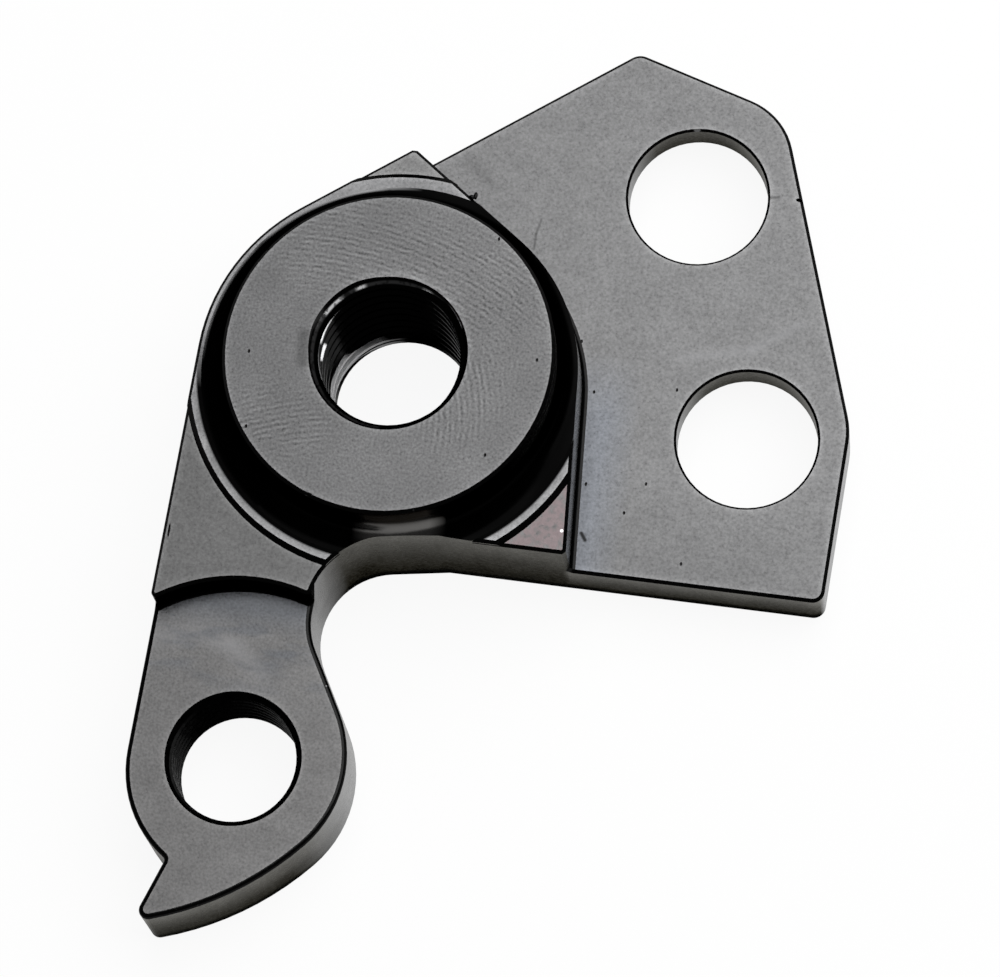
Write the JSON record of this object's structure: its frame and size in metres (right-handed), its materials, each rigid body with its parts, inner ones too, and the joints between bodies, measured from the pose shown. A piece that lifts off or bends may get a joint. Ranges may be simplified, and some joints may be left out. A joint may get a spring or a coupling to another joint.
{
  "type": "bicycle derailleur hanger",
  "caption": "Black-anodised milled aluminium derailleur hanger: a threaded round boss for the axle, a flat side plate with bolt holes, and a threaded tab with a stop claw for the rear derailleur.",
  "frame": {"origin": "on the axle bore's axis, at the flat back face", "axes": "+Z along the axle bore towards the boss's front face; +X along the plate's straight lower edge, from the boss towards the bolt holes; +Y up, away from the derailleur tab"},
  "size_m": [0.049, 0.071, 0.0146],
  "materials": {
    "black_anodised": "black-anodised milled surface, satin, with fine cutter marks"
  },
  "bodies": {
    "root": {"derailleur_hanger": "black_anodised"}
  },
  "joints": []
}
